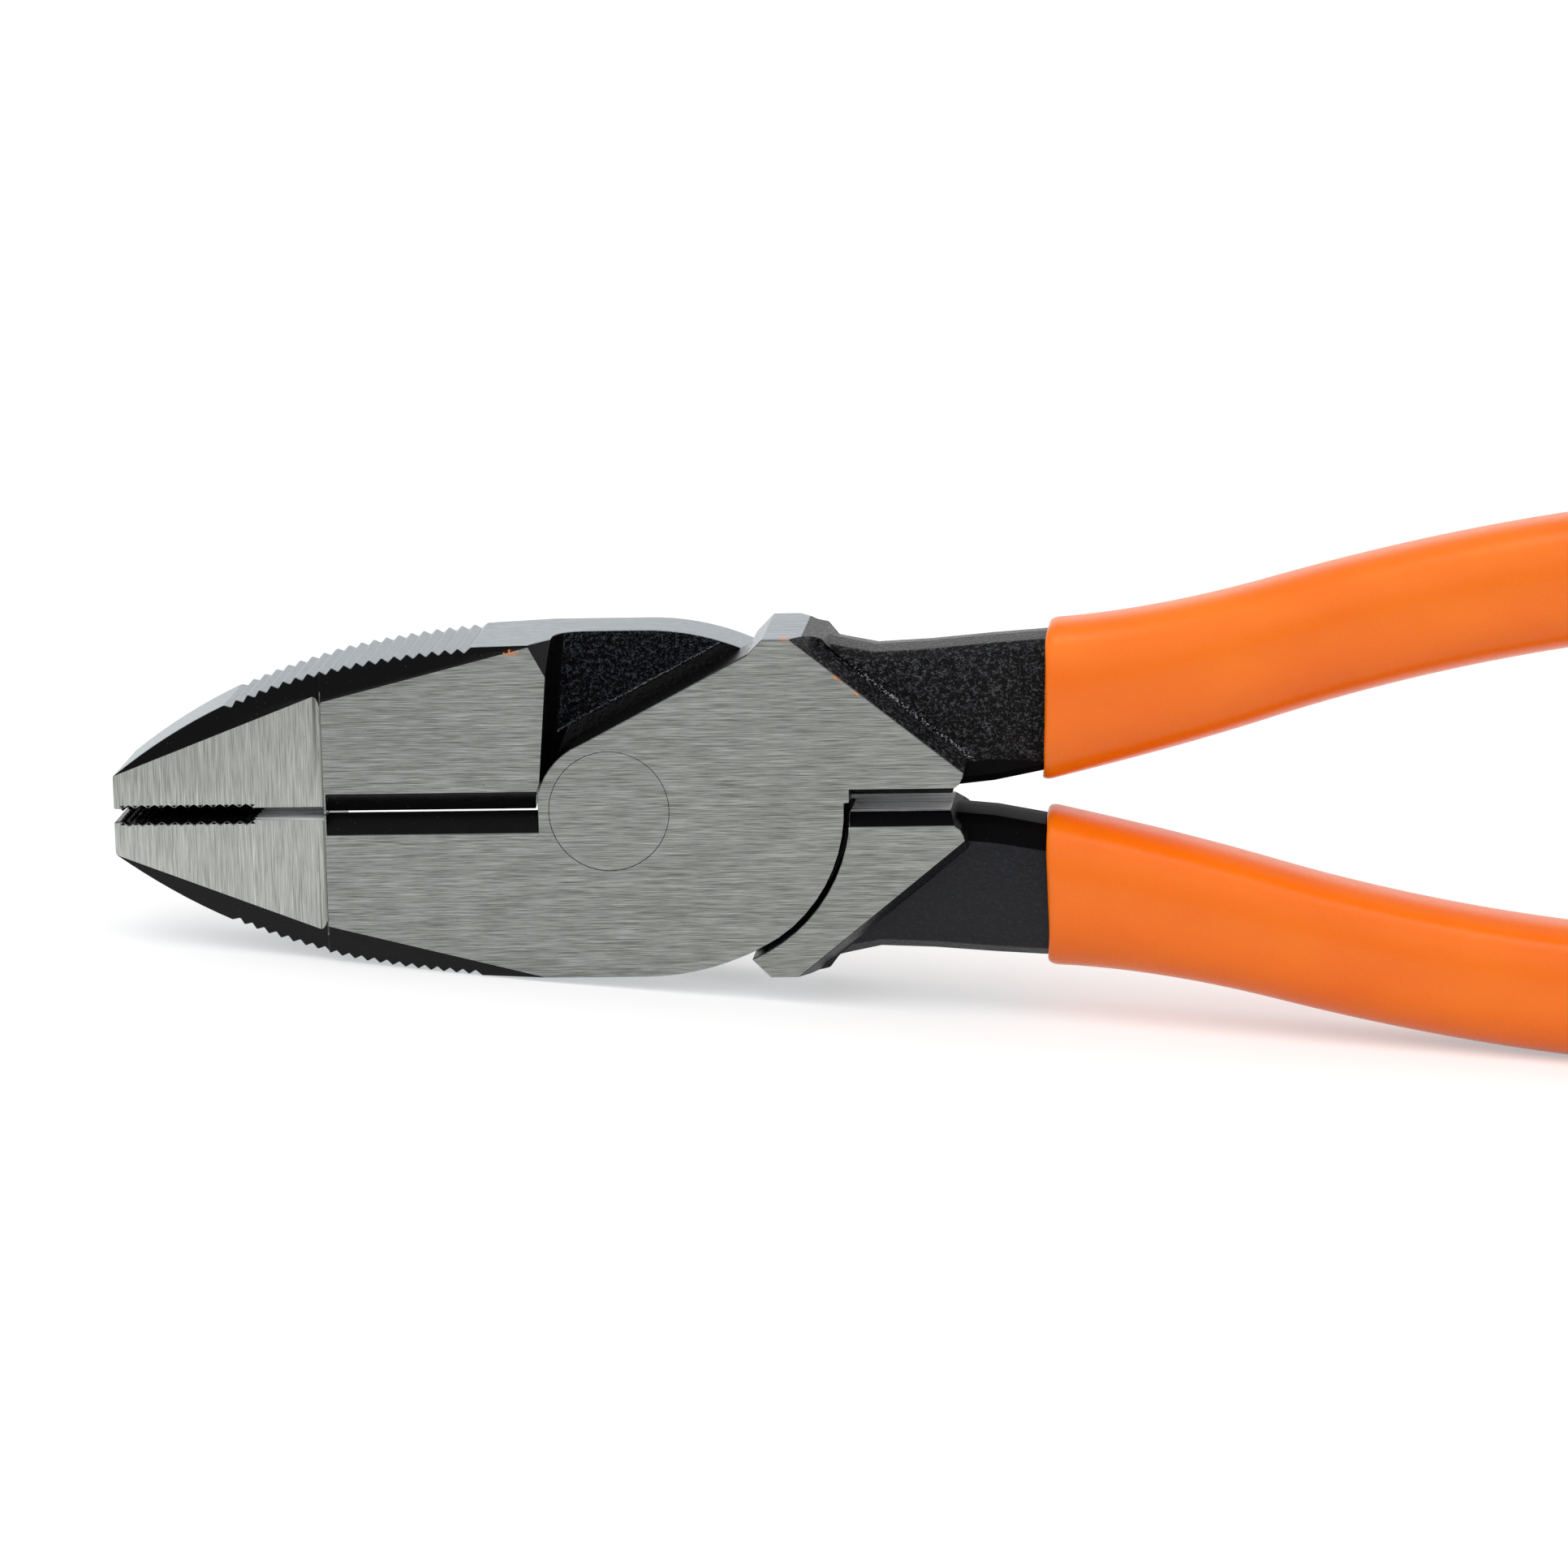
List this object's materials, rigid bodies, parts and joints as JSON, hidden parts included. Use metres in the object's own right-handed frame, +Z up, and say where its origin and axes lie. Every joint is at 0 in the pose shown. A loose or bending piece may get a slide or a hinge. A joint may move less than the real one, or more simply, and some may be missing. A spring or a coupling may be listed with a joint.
{
  "type": "lineman pliers",
  "caption": "Side-cutting combination pliers with lapped forged halves on a flush rivet, knurled jaw edges, and moulded grips; stands on edge.",
  "frame": {"origin": "centre of the footprint of the closed tool as it stands on edge, at the level of the surface it stands on", "axes": "+X from the jaws to the handle ends along the length, +Y from the front face to the back face through the thickness, +Z up, from the lower jaw and grip to the upper ones"},
  "size_m": [0.242, 0.015, 0.0602],
  "materials": {
    "ground_steel": "ground faces over a black painted forging",
    "rivet_steel": "ground flush with the face",
    "orange_vinyl": "smooth glossy moulded vinyl"
  },
  "bodies": {
    "back_lever": {"back_half": "ground_steel", "pivot_rivet": "rivet_steel", "lower_grip": "orange_vinyl"},
    "front_lever": {"front_half": "ground_steel", "upper_grip": "orange_vinyl"}
  },
  "joints": [
    {"name": "jaw_pivot", "type": "hinge", "parent": "back_lever", "child": "front_lever", "pos_m": [-0.07388, 0, 0.01688], "axis": [0, -1, 0], "range_deg": [0, 34]}
  ]
}
